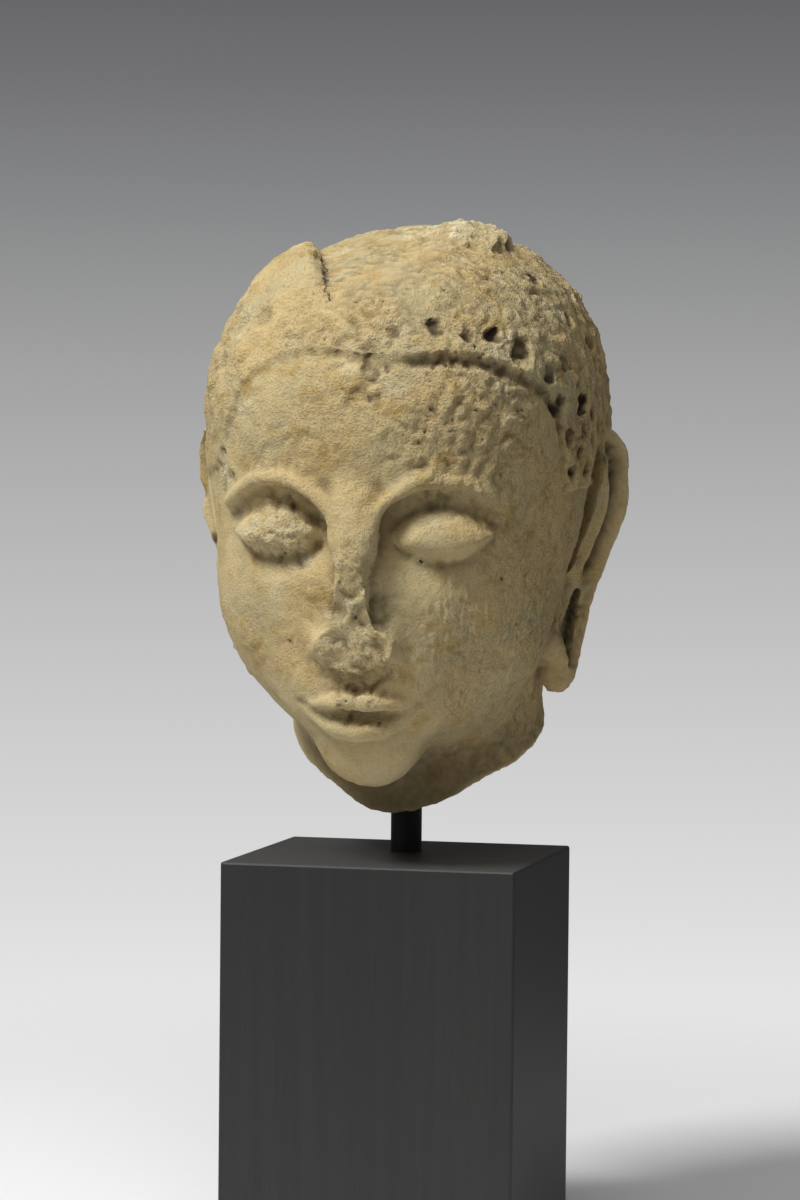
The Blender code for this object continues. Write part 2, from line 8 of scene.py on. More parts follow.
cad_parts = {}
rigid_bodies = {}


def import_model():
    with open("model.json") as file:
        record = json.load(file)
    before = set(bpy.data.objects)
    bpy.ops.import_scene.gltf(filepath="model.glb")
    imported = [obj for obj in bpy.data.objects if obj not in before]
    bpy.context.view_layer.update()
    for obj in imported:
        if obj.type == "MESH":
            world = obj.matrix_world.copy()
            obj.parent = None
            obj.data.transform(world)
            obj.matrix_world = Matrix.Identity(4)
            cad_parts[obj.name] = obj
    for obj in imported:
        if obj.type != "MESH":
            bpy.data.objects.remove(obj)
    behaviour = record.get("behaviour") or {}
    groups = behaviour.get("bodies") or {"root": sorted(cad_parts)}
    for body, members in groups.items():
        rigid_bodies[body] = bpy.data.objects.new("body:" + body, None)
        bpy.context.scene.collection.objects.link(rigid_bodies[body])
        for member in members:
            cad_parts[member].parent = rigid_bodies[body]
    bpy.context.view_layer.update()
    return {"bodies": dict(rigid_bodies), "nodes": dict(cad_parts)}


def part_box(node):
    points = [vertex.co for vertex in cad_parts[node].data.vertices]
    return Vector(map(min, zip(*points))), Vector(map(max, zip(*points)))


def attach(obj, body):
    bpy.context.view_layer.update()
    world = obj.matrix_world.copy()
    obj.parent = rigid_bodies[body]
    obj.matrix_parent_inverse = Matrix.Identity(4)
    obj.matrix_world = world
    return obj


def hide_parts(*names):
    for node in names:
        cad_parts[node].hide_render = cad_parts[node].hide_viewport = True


# Weathered stone head of a Buddha on a steel rod in a dark wooden block.
# The carving is laid out in parts, hundredths of the head's height, in the head's own frame:
# origin in the middle of the head, level with the eyes, face towards -Y.

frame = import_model()
bodyName = list(frame["bodies"])[0]
print("frame:", sorted(frame["nodes"]), "body", bodyName)

pose = {
    "height": 0.216,        # metres, crown to chin
    "bow": 12.0,            # degrees, chin down
    "lean": 0.5,            # crown towards +X
    "turn": 1.2,            # face towards +X
    "aside": -0.001,        # head's middle from the rod's axis, metres
    "ahead": 0.006,
    "rodBack": 0.012,
    "blockHeight": 0.160,
    "rodShown": 0.017,
    "boreTop": -22.0,       # parts above the middle of the head, along the rod
}

skull = {
    "centre": (0.9, 2.0, 12.5),
    "radii": (36.5, 42.5, 36.2),
    "squareness": 2.4,
    "face": ((0, -10.5, -12.5), (31.0, 31.5, 35.6)),
    "cheeks": ((13.5, -22.0, -14.5), (14.5, 16.0, 15.5)),
    "muzzle": ((0, -34.0, -28.5), (15.0, 9.6, 11.0)),
    "chin": ((0, -33.0, -40.8), (8.5, 8.2, 7.0)),
    "neckRadius": 24.2,
    "neckLowest": -59.0,
}

# Places on the face are (x, z, how far it stands before the bare head, radius)
face = {
    "brow": [(2.6, -1.0, 0.6, 1.6), (3.6, 4.0, 0.6, 1.5), (6.8, 8.2, 0.5, 1.3), (13.0, 11.0, 0.3, 1.2),
             (20.0, 9.8, 0.0, 1.1), (25.5, 5.0, -0.4, 1.0)],
    "nose": [(0, 7.0, -1.2, 3.0), (0, 0.0, 1.2, 2.9), (0, -10.0, 3.4, 3.4), (0, -17.0, 4.6, 4.4),
             (0, -19.5, 4.0, 4.0)],
    "upperLip": [(10.4, -30.6, -0.6, 0.4), (6.5, -29.6, 0.2, 1.3), (2.4, -28.6, 0.9, 1.8),
                 (0, -29.2, 0.9, 1.6)],
    "lowerLip": [(9.2, -32.4, -0.8, 0.6), (5.0, -34.0, 0.2, 1.8), (0, -34.6, 0.6, 2.2)],
    "mouthLine": [(11.6, -30.2, 0.4, 0.8), (8.0, -31.4, 1.2, 0.6), (4.0, -31.5, 1.9, 0.5),
                  (0, -32.0, 2.2, 0.45)],
    "eye": (14.4, 0.4),
    "eyeRadii": (9.4, 6.6, 5.2),
    "eyeStands": 1.9,
    "lidStep": 0.6,
}

# Angles are degrees: down from the whorl at the back of the crown, and round it from the forehead's middle
hair = {
    "tilt": 38.6,
    "raise": 0.9,
    "curlAngle": 7.6,
    # pairs of degrees: round the whorl, and down from it
    "hairline": [(-180, 97), (-100, 104), (-75, 114), (-56, 118), (-47, 115), (-33, 103), (-23, 99),
                 (-11, 98), (0, 100.5), (11, 100), (22, 97.5), (35, 97), (49, 97), (57, 100), (66, 111),
                 (74, 117), (84, 112), (96, 104), (180, 97)],
    # drilled pits that still show: down, round, radius, depth
    "pits": [(93, 7, 1.3, 0.7), (91, 17, 1.9, 1.1), (92, 25, 1.5, 0.9), (90, 32, 1.9, 1.5),
             (91, 40, 2.8, 2.2), (94, 50, 1.8, 1.1), (87, 56, 1.5, 0.9), (99, 56, 2.0, 1.7),
             (93, 68, 2.2, 2.4), (105, 64, 1.8, 1.5), (112, 71, 1.7, 1.4), (99, 95, 1.5, 1.6),
             (78, 99, 1.6, 1.8), (70, 75, 1.4, 1.6), (70, 61, 1.4, 1.5), (61, 49, 1.3, 1.3),
             (110, 5, 2.0, 0.7), (103, 3, 2.3, 0.8)],
    # scoops worn into the curls: down, round, half width, half length, depth
    "scoops": [(85, -38, 2.6, 4.4, 1.1), (93, -30, 2.2, 3.4, 0.8), (86, -29, 2.6, 3.6, 1.2),
               (91, -22, 2.0, 3.2, 0.7), (95, -43, 2.2, 3.4, 0.8)],
    "slabRaise": 1.2,       # of the crown on the -X side of its crack
    "crownWorn": 1.9,       # how much lower it is at the crack and beyond
    "crack": (14.5, 0.285),     # how far to the -X side it starts, and how far it swings to +X a part forward
    "stump": ((11.2, 6.0, 46.6), (9.4, 11.0, 4.3)),
}

earSizes = {
    "place": (33.0, -1.5, 0.0),
    "turn": 38.0,
    # back and outwards from the ear's front edge, then up
    "outline": [(-4.0, 7.5), (-2.0, 10.8), (3.5, 12.6), (9.5, 12.0), (13.4, 8.6), (14.6, 2.0),
                (13.6, -6.0), (11.0, -14.0), (9.2, -21.0), (8.6, -29.0), (7.6, -35.6), (4.4, -39.0),
                (0.2, -37.6), (-1.8, -31.0), (-2.0, -20.0), (-6.0, -12.0), (-8.0, 0.0)],
    "rimLost": 1.2,         # from the -X ear
}

carvingMesh = {
    "cell": 0.42,    # parts
    "halvings": 4,
    "band": 4.0,                            # cells this near the surface are halved
    "triangles": 195000,
}


# parts in the head's own frame to metres in the world's, without the shift
def headMatrix():
    turn, lean, bow = (Matrix.Rotation(math.radians(pose[name]), 3, axis)
                       for name, axis in (("turn", "Z"), ("lean", "Y"), ("bow", "X")))
    return np.array(turn @ lean @ bow) * pose["height"] / 100


# signed distances, negative inside the stone
def ellipsoid(p, centre, radii, power=2.0):
    q = np.abs(p - np.array(centre)) / np.array(radii)
    scaled = np.maximum((q**power).sum(axis=1), 1e-12) ** (1 / power)
    slope = (q / scaled[:, None]) ** (power - 1) / np.array(radii)
    return (scaled - 1) / np.maximum(np.linalg.norm(slope, axis=1), 1e-9)


def strand(p, points, radii):
    points = np.asarray(points, float)
    nearest = np.full(len(p), 1e9)
    for a, b, radiusA, radiusB in zip(points, points[1:], radii, radii[1:]):
        along = b - a
        share = np.clip(((p - a) @ along) / (along @ along), 0, 1)
        away = np.linalg.norm(p - a - share[:, None] * along, axis=1)
        nearest = np.minimum(nearest, away - radiusA - share * (radiusB - radiusA))
    return nearest


def joined(a, b, blend):
    overlap = np.maximum(blend - np.abs(a - b), 0) / blend
    return np.minimum(a, b) - overlap * overlap * blend / 4


def carved(a, b, blend):
    return -joined(-a, b, blend)


def ramp(value, low, high):
    t = np.clip((value - low) / (high - low), 0, 1)
    return t * t * (3 - 2 * t)


def ridge(value, middle, halfWidth):
    return np.exp(-((value - middle) / halfWidth) ** 2)


def softened(value, blend):
    return (value + np.sqrt(value * value + blend * blend)) / 2


def ripples(p, length):
    k = 2 * math.pi / length
    x, y, z = p.T
    broad = np.sin(k * (0.71 * x + 0.53 * z) + 1.3) * np.sin(k * (0.62 * y - 0.44 * x) + 0.4)
    return (broad + np.sin(k * 1.7 * (0.66 * z - 0.31 * y) + 2.1) * np.sin(k * 1.7 * 0.72 * x)) / 2


def bothSides(p):
    return np.column_stack([np.abs(p[:, 0]), p[:, 1], p[:, 2]])


# works a change out only for the points inside a box
def onlyWithin(shape, p, low, high, change):
    near = np.all((p > np.array(low)) & (p < np.array(high)), axis=1)
    if near.any():
        shape = shape.copy()
        shape[near] = change(shape[near], p[near])
    return shape


def bareHead(p):
    half = bothSides(p)
    shape = ellipsoid(p, skull["centre"], skull["radii"], skull["squareness"])
    shape = joined(shape, ellipsoid(p, *skull["face"]), 8.0)
    shape = joined(shape, ellipsoid(half, *skull["cheeks"]), 9.0)
    shape = joined(shape, ellipsoid(p, *skull["muzzle"]), 8.0)
    return joined(shape, ellipsoid(p, *skull["chin"]), 7.0)


def frontOf(x, z):
    x, z = np.broadcast_arrays(np.asarray(x, float), np.asarray(z, float))
    outside, inside = np.full(x.shape, -70.0), np.zeros(x.shape)
    for _ in range(18):
        middle = (outside + inside) / 2
        hit = bareHead(np.column_stack([x, middle, z])) < 0
        inside = np.where(hit, middle, inside)
        outside = np.where(hit, outside, middle)
    return (outside + inside) / 2


def smoothRun(points, perSpan=5):
    points = np.array(points, float)
    padded = np.vstack([2 * points[0] - points[1], points, 2 * points[-1] - points[-2]])
    run = []
    for a, b, c, d in zip(padded, padded[1:], padded[2:], padded[3:]):
        for t in np.arange(perSpan) / perSpan:
            run.append(0.5 * (2 * b + (c - a) * t + (2 * a - 5 * b + 4 * c - d) * t**2
                              + (3 * b - 3 * c + d - a) * t**3))
    return np.array(run + [points[-1]])


def closedRun(points, perSpan=4):
    run = smoothRun(points[-2:] + points + points[:2], perSpan)
    return run[2 * perSpan:-2 * perSpan][:-1]


def onFace(places):
    x, z, lift, radius = smoothRun(places).T
    return np.column_stack([x, frontOf(x, z) - lift, z]), radius


eyeFront = frontOf([face["eye"][0]], [face["eye"][1]])[0]
eyeCentre = (face["eye"][0], eyeFront + face["eyeRadii"][1] - face["eyeStands"], face["eye"][1])
browRun = onFace(face["brow"])
noseRun = onFace(face["nose"])
upperLipRun = onFace(face["upperLip"])
lowerLipRun = onFace(face["lowerLip"])
mouthLineRun = onFace(face["mouthLine"])
earOutline = closedRun(earSizes["outline"])
noseTip = noseRun[0][-1][1]


def almond(p, centre, radii):
    across = np.clip((p[:, 0] - centre[0]) / (radii[0] * 1.08), -1, 1)
    narrow = np.maximum(1 - across * across, 0.05) ** 0.45
    stretched = np.column_stack([p[:, 0], p[:, 1], centre[2] + (p[:, 2] - centre[2]) / narrow])
    return ellipsoid(stretched, centre, radii) * narrow


def lidLine(x, height, sag):
    across = (x - face["eye"][0]) / face["eyeRadii"][0]
    return face["eye"][1] + height + sag * (1 - across * across)


def eyes(shape, p):
    half = bothSides(p)
    socket = ellipsoid(half, (face["eye"][0] - 1.0, eyeFront - face["eyeStands"] - 1.2, face["eye"][1] + 2.2),
                       (12.0, 4.6, 7.0))
    shape = carved(shape, socket, 5.0)
    shape = joined(shape, almond(half, eyeCentre, face["eyeRadii"]), 1.0)
    # the lids of the -X eye are worn almost flat
    lid = almond(half, eyeCentre, np.array(face["eyeRadii"]) + face["lidStep"]) + 0.5 * ramp(-p[:, 0], 0, 1)
    upper = np.maximum(lid, lidLine(half[:, 0], -0.4, -1.6) - half[:, 2])
    lower = np.maximum(lid + 0.35, half[:, 2] - lidLine(half[:, 0], -0.6, -1.6))
    return joined(joined(shape, upper, 0.6), lower, 0.6)


def browsNoseMouth(shape, p):
    half = bothSides(p)
    shape = joined(shape, strand(half, *browRun), 2.6)
    bridge = strand(p, *noseRun)
    wing = ellipsoid(half, (4.6, noseTip + 3.6, -18.6), (3.6, 4.6, 3.4))
    whole = joined(bridge, wing, 2.5)
    # the nose is broken off unevenly
    whole = np.maximum(whole, (noseTip + 0.9 - 0.03 * (p[:, 2] + 19.5) + 0.6 * ripples(p, 9.0)) - p[:, 1])
    shape = joined(shape, whole, 3.4)
    shape = joined(shape, strand(half, *upperLipRun), 1.2)
    shape = joined(shape, strand(half, *lowerLipRun), 1.6)
    return carved(shape, strand(half, *mouthLineRun), 1.0)


def neck(shape, p):
    post = np.hypot(p[:, 0] - 0.8, p[:, 1] - 4.0) - skull["neckRadius"]
    return joined(shape, np.maximum(post, p[:, 2] + 12), 5.0)


def brokenNeck(p):
    aside = p[:, 0] + 1.0
    rise = 0.52 * softened(-aside, 2.5) + 0.34 * softened(aside, 4.0)
    uneven = 0.7 * ripples(p, 16.0) + 0.2 * ripples(p, 5.0)
    return skull["neckLowest"] + rise + 0.10 * (p[:, 1] + 20.0) + uneven


def hairAngles(p):
    away = p - np.array(skull["centre"])
    tilt = math.radians(hair["tilt"])
    up = away[:, 1] * math.sin(tilt) + away[:, 2] * math.cos(tilt)
    front = away[:, 2] * math.sin(tilt) - away[:, 1] * math.cos(tilt)
    return (np.degrees(np.arctan2(np.hypot(away[:, 0], front), up)),
            np.degrees(np.arctan2(away[:, 0], front)))


def hairDirection(down, around):
    tilt, down, around = math.radians(hair["tilt"]), math.radians(down), math.radians(around)
    front, up = math.sin(down) * math.cos(around), math.cos(down)
    return np.array([math.sin(down) * math.sin(around),
                     up * math.sin(tilt) - front * math.cos(tilt),
                     up * math.cos(tilt) + front * math.sin(tilt)])


def hollow(away, uneven, down, around, halfWidth, halfLength, depth, flat=0.0):
    axis = hairDirection(down, around)
    tilt = math.radians(hair["tilt"])
    along = np.cross(np.cross(axis, [0, math.sin(tilt), math.cos(tilt)]), axis)
    along /= np.linalg.norm(along)
    reach = np.hypot(away @ np.cross(axis, along) / halfWidth, away @ along / halfLength) + uneven
    return depth * (1 - ramp(reach, flat, 1.0)) * (away @ axis > 0)


# how far beside the crack in the crown, towards +X
def besideCrack(p):
    return p[:, 0] + hair["crack"][0] + hair["crack"][1] * p[:, 1]


def crownWear(p):
    beside = besideCrack(p)
    raised, lowered = hair["slabRaise"], hair["crownWorn"]
    shoulder = 1 - (1 - np.clip(-beside / 4.0, 0, 1)) ** 2
    proud = (raised + lowered - 0.3) * shoulder + 0.3 * ramp(-beside, -0.3, 0.3)
    lower = lowered * (1 - ramp(beside, 4, 26)) + raised * ramp(-beside, 9, 22)
    return (proud - lower) * ramp(p[:, 2], 36, 43) * ramp(p[:, 1], -31, -17) * (1 - ramp(p[:, 1], 8, 24))


def hairHeight(p):
    down, around = hairAngles(p)
    hairline = np.interp(around, *zip(*hair["hairline"]))
    inside = hairline - down
    # the step at the hairline is lower on the -X side
    lower = 0.35 * ramp(-around, 4, 20) * (1 - ramp(inside, 1, 8))
    raised = hair["raise"] * ramp(inside, -1.2, 1.2) * (1 - lower)
    undercut = 0.6 * np.exp(-((inside + 1.6) / 1.3) ** 2) * ramp(around, 2, 14) * (1 - ramp(around, 58, 66))
    down = down + 1.5 * ripples(p, 21.0)
    ring = np.round(down / hair["curlAngle"])
    count = np.maximum(np.round(360 * np.sin(np.radians(ring * hair["curlAngle"])) / hair["curlAngle"]), 1)
    column = around / 360 * count + 0.5 * (ring % 2) + 0.22 * ripples(p, 17.0)
    reach = np.hypot(column - np.round(column), 0.8 * (down / hair["curlAngle"] - ring))
    worn = (ramp(around, 58, 82) + ramp(-around, 80, 100)) * ramp(down, 30, 52) * ramp(inside, 1, 4)
    pits = (0.9 * (1 - ramp(reach, 0.1, 0.34)) - 0.25 * ramp(reach, 0.3, 0.5)) * worn
    height = raised - undercut - pits + crownWear(p)
    away, uneven = p - np.array(skull["centre"]), 0.16 * ripples(p, 4.6)
    for downAt, aroundAt, radius, depth in hair["pits"]:
        height = height - hollow(away, uneven, downAt, aroundAt, 1.1 * radius, 1.4 * radius, depth, 0.05)
    for scoop in hair["scoops"]:
        height = height - hollow(away, uneven, *scoop)
    return height


def haired(shape, p):
    near = np.abs(shape) < 8
    shape = shape.copy()
    shape[near] -= hairHeight(p[near])
    return shape


def crownBreak(shape, p):
    stump = ellipsoid(p, *hair["stump"]) - 0.4 * ripples(p, 4.0)
    return joined(shape, stump, 1.0)


def outlineDistance(u, v, outline):
    nearest = np.full(len(u), 1e9)
    inside = np.zeros(len(u), bool)
    for (u0, v0), (u1, v1) in zip(outline, np.roll(outline, -1, axis=0)):
        run, rise = u1 - u0, v1 - v0
        share = np.clip(((u - u0) * run + (v - v0) * rise) / (run * run + rise * rise), 0, 1)
        nearest = np.minimum(nearest, np.hypot(u - u0 - share * run, v - v0 - share * rise))
        inside ^= ((v0 > v) != (v1 > v)) & (u < u0 + (v - v0) / (rise if rise else 1e-9) * run)
    return np.where(inside, -nearest, nearest)


def ears(shape, p):
    half = bothSides(p)
    turn = math.radians(earSizes["turn"])
    away = half - np.array(earSizes["place"])
    # the -X ear stands out more, and has lost its rim and the end of its lobe
    other = p[:, 0] < 0
    away[:, 0] += np.where(other, 0.1, 0.2) * np.minimum(softened(-4 - away[:, 2], 3.0), 26) - other * 1.0
    u = away[:, 0] * math.sin(turn) + away[:, 1] * math.cos(turn)
    w = away[:, 0] * math.cos(turn) - away[:, 1] * math.sin(turn)
    v = away[:, 2]
    edge = outlineDistance(u, v, earOutline)
    inwards = -edge
    upper = ramp(v, -19, -12)
    rim = 1.1 * (1 - 0.8 * ramp(-v, 29, 35))
    relief = rim * ridge(inwards, 1.3, 1.4) - 1.5 * ridge(inwards, 4.0, 1.2) * upper * (1 - ramp(v, 8, 11))
    relief = relief + 0.9 * ridge(inwards, 6.4, 1.2) * upper
    back = -w - 3.2 - ramp(v, -24, -14) * np.clip(0.75 * inwards, 0, 9)
    lost = other * (earSizes["rimLost"] + 0.7 * ripples(half, 7.0))
    plate = carved(np.maximum(w - relief, back), inwards - lost, 1.6)
    plate = np.where(other, np.maximum(plate, -32.5 + 0.8 * ripples(half, 6.0) - v), plate)
    plane = np.column_stack([u, v, np.zeros(len(u))])
    shell = strand(plane, [(3.4, 6.0, 0), (2.4, -2.0, 0), (0.4, -13.5, 0)], (3.6, 3.3, 0.9))
    slit = strand(plane, [(4.6, -19.5, 0), (3.9, -25.0, 0), (3.4, -31.0, 0)], (0.8, 1.7, 1.9))
    web = strand(half, [(25.0, -4.0, -24.0), (29.5, -1.5, -31.0), (30.0, 0.5, -35.0)], (3.6, 2.9, 2.2))
    shape = joined(shape, joined(plate, web, 2.0), 1.6)
    return carved(carved(shape, np.maximum(shell, -5.5 - w), 0.7), np.maximum(slit, -2.4 - w), 0.7)


# the rod is upright, and the head's parts are bowed, leaned and turned about it
rodBore = (6.35 + 0.3) / (10 * pose["height"])
rodUp = headMatrix().T @ np.array([0, 0, 1.0])
rodUp /= np.linalg.norm(rodUp)
rodFoot = np.linalg.inv(headMatrix()) @ np.array([-pose["aside"], pose["ahead"], 0])


def fromRodAxis(p):
    away = p - rodFoot
    return np.linalg.norm(away - np.outer(away @ rodUp, rodUp), axis=1)


def bored(shape, p):
    along = (p - rodFoot) @ rodUp
    return np.maximum(shape, -np.maximum(fromRodAxis(p) - rodBore, along - pose["boreTop"]))


def stoneHead(p):
    shape = neck(haired(bareHead(p), p), p)
    shape = onlyWithin(shape, p, (-6, -12, 36), (30, 26, 60), crownBreak)
    shape = onlyWithin(shape, p, (-32, -70, -14), (32, -14, 16), eyes)
    shape = onlyWithin(shape, p, (-34, -70, -44), (34, -16, 18), browsNoseMouth)
    for low, high in (((18, -24, -46), (60, 32, 24)), ((-60, -24, -46), (-18, 32, 24))):
        shape = onlyWithin(shape, p, low, high, ears)
    shape = np.maximum(shape, brokenNeck(p) - p[:, 2])
    return onlyWithin(shape, p, (-8, -20, -70), (8, 20, -8), bored)


corners = np.array([(x, y, z) for x in (0, 1) for y in (0, 1) for z in (0, 1)])
neighbours = np.array([(x, y, z) for x in (-1, 0, 1) for y in (-1, 0, 1) for z in (-1, 0, 1)])


# whether a cell's inside corners, and its outside ones, each hang together, for all 256 patterns
def plainPatterns():
    def together(chosen):
        reached, edge = set(), chosen[:1]
        while edge:
            reached.update(edge)
            beside = {c ^ bit for c in edge for bit in (1, 2, 4)}
            edge = [c for c in beside if c in chosen and c not in reached]
        return len(reached) == len(chosen)
    patterns = [[c for c in range(8) if number >> c & 1] for number in range(256)]
    return np.array([together(inside) and together([c for c in range(8) if c not in inside])
                     for inside in patterns])


# one point for each cell that the surface crosses, and one four-sided face for each crossed cell edge
def surfaceNet(solid, low, high, width, halvings):
    low = np.array(low, float)
    coarse = width * 2**halvings
    counts = np.ceil((np.array(high) - low) / coarse).astype(int)
    cells = np.stack(np.meshgrid(*[np.arange(n) for n in counts], indexing="ij"), -1).reshape(-1, 3)
    for level in range(halvings + 1):
        size = coarse / 2**level
        near = carvingMesh["band"] if level < halvings else 1.0
        cells = cells[np.abs(solid(low + (cells + 0.5) * size)) < near * size]
        if level < halvings:
            cells = (2 * cells[:, None, :] + corners).reshape(-1, 3)
    # from there the surface is followed: every cell beside a crossed one is looked into as well
    shape = tuple(counts * 2**halvings + 1)
    heights, listed = np.full(shape, np.nan), np.zeros(shape, bool)
    every, fresh = [], cells
    listed[tuple(cells.T)] = True
    while len(fresh):
        every.append(fresh)
        nodes = tuple((fresh[:, None, :] + corners).reshape(-1, 3).T)
        unknown = np.unique(np.ravel_multi_index(nodes, shape)[np.isnan(heights[nodes])])
        unknown = np.stack(np.unravel_index(unknown, shape), axis=1)
        heights[tuple(unknown.T)] = solid(low + unknown * width)
        within = (heights[nodes] < 0).reshape(-1, 8)
        crossed = fresh[within.any(axis=1) & ~within.all(axis=1)]
        beside = tuple((crossed[:, None, :] + neighbours).reshape(-1, 3).T)
        beside = np.unique(np.ravel_multi_index(beside, shape)[~listed[beside]])
        fresh = np.stack(np.unravel_index(beside, shape), axis=1)
        listed[tuple(fresh.T)] = True
    cells = np.concatenate(every)
    nodes = tuple((cells[:, None, :] + corners).reshape(-1, 3).T)
    # a cell that two pieces of surface would pass through is filled, so that the mesh stays one closed skin
    plain = plainPatterns()
    for _ in range(20):
        values = heights[nodes].reshape(-1, 8)
        doubtful = ~plain[(values < 0) @ (1 << np.arange(8))]
        if not doubtful.any():
            break
        filled = tuple((cells[doubtful][:, None, :] + corners).reshape(-1, 3).T)
        heights[filled] = np.minimum(heights[filled], -0.2 * width)
    within = values < 0
    crossed = within.any(axis=1) & ~within.all(axis=1)
    cells, values, within = cells[crossed], values[crossed], within[crossed]
    total, found = np.zeros((len(cells), 3)), np.zeros(len(cells))
    for a in range(8):
        for bit in (4, 2, 1):
            if a & bit:
                continue
            b = a | bit
            cut = within[:, a] != within[:, b]
            share = values[:, a] / np.where(cut, values[:, a] - values[:, b], 1)
            total += np.where(cut[:, None], corners[a] + share[:, None] * (corners[b] - corners[a]), 0)
            found += cut
    points = low + (cells + total / found[:, None]) * width
    number = np.zeros(shape, int)
    number[tuple(cells.T)] = np.arange(len(cells))
    faces = []
    for axis, bit in ((0, 4), (1, 2), (2, 1)):
        cut = np.nonzero(within[:, 0] != within[:, bit])[0]
        one, two = np.eye(3, dtype=int)[[(axis + 1) % 3, (axis + 2) % 3]]
        quads = np.stack([number[tuple((cells[cut] - shift).T)]
                          for shift in (0 * one, one, one + two, two)], axis=1)
        inwards = within[cut, 0]
        quads[~inwards] = quads[~inwards][:, ::-1]
        faces.append(quads)
    return points, np.concatenate(faces)


def drawnOn(points, width):
    nudge = 0.05 * width
    height = stoneHead(points)
    slope = np.stack([(stoneHead(points + nudge * axis) - height) / nudge for axis in np.eye(3)], axis=1)
    shift = -slope * (height / np.maximum((slope**2).sum(axis=1), 0.25))[:, None]
    return points + np.clip(shift, -0.4 * width, 0.4 * width)


def meshFrom(points, faces, name):
    mesh = bpy.data.meshes.new(name)
    mesh.from_pydata(points.tolist(), [], faces.tolist())
    return mesh


def newObject(name, mesh):
    made = bpy.data.objects.new(name, mesh)
    bpy.context.scene.collection.objects.link(made)
    return made


def normalsOf(mesh):
    flat = np.zeros(len(mesh.vertices) * 3)
    mesh.vertex_normals.foreach_get("vector", flat)
    return flat.reshape(-1, 3)


# smooth random hills and hollows about this far apart, roughly between -1 and 1
def noise(p, spacing, seed):
    rng = np.random.default_rng(seed)
    slopes = rng.normal(size=(40, 40, 40, 3))
    slopes /= np.linalg.norm(slopes, axis=3, keepdims=True)
    q = p @ np.linalg.qr(rng.normal(size=(3, 3)))[0] / spacing + 51.7
    base = np.floor(q).astype(int)
    t = q - base
    blend = t * t * t * (t * (6 * t - 15) + 10)
    total = 0
    for corner in corners:
        weight = np.prod(np.where(corner, blend, 1 - blend), axis=1)
        i, j, k = ((base + corner) % 40).T
        total = total + weight * (slopes[i, j, k] * (t - corner)).sum(axis=1)
    return 1.8 * total


# rounded grains with creases between them, about -1 to 1
def grains(p, spacing, seed):
    return 2.6 * np.abs(noise(p, spacing, seed)) - 1


# scattered round pits: one in a share of the cells of this spacing, each 1 deep at its middle
def scatteredPits(p, spacing, radius, share, seed):
    rng = np.random.default_rng(seed)
    spots, sizes = rng.uniform(0, 1, (32, 32, 32, 3)), rng.uniform(0.5, 1.0, (32, 32, 32))
    sizes = np.where(rng.uniform(0, 1, (32, 32, 32)) < share, sizes, 0)
    q = p / spacing + 9.1
    base = np.floor(q).astype(int)
    deepest = np.zeros(len(p))
    for offset in np.stack(np.meshgrid(*[(-1, 0, 1)] * 3, indexing="ij"), -1).reshape(-1, 3):
        cell = base + offset
        i, j, k = (cell % 32).T
        away = np.linalg.norm(q - cell - spots[i, j, k], axis=1) * spacing
        reach = radius * sizes[i, j, k]
        pit = 1 - ramp(away / np.maximum(reach, 1e-6), 0.4, 1.0)
        deepest = np.maximum(deepest, np.where(reach > 0, pit, 0))
    return deepest


wear = {
    # broken or scuffed places, in parts: middle, radius, roughness, how much fresh pale stone shows
    "places": [
        ((0, -46.0, -5.0), 7.5, 0.8, 0.3),          # broken nose
        ((0, -46.0, -13.0), 8.5, 0.95, 0.5),
        ((0, -46.0, -20.0), 9.0, 1.0, 0.6),
        ((0.5, -44.5, -27.0), 6.5, 0.9, 0.5),       # scuffed upper lip
        ((-14.5, -40.0, 1.5), 9.5, 0.95, 0.7),      # the -X eye
        ((-24.5, -27.0, 10.0), 5.5, 1.5, 1.0),      # chipped end of the -X brow
        ((15.0, -39.0, 5.0), 5.0, 0.9, 0.3),        # edge of the +X upper lid
        ((25.0, -32.0, 22.0), 13.0, 1.0, 0.15),     # pitted temple
        ((28.0, -26.0, -6.0), 11.0, 0.75, 0.0),
        ((4.0, -33.0, 38.0), 8.0, 1.0, 0.2),
        ((10.0, 7.0, 51.0), 13.0, 0.9, 1.0),        # crown break
    ],
    # places along each, radius, depth: two broad scuffs under the hairline, then small pits and nicks
    "gouges": [
        ([(-2.5, -36.0, 34.6), (0.5, -36.2, 34.0), (4.0, -37.0, 33.0)], 3.0, 0.6),
        ([(4.8, -38.0, 31.2), (2.4, -39.2, 28.6), (0.2, -39.5, 26.4)], 2.8, 0.7),
        ([(-23.6, 0.1, 44.6), (-21.6, -1.6, 45.4)], 0.6, 1.1),
        ([(25.7, -34.1, -19.0)], 0.55, 1.0),
        ([(27.3, -28.8, -24.1)], 0.6, 1.0),
        ([(9.3, -40.0, -37.6)], 0.5, 0.9),
        ([(14.5, -30.0, 36.4), (17.0, -29.0, 36.8)], 1.0, 0.8),
    ],
    "dents": 0.36,          # depth of the broad unevenness
    # how far apart the grains of each size are, and how high they stand
    "grainSizes": [(3.4, 0.30), (1.7, 0.18), (0.85, 0.06)],
}


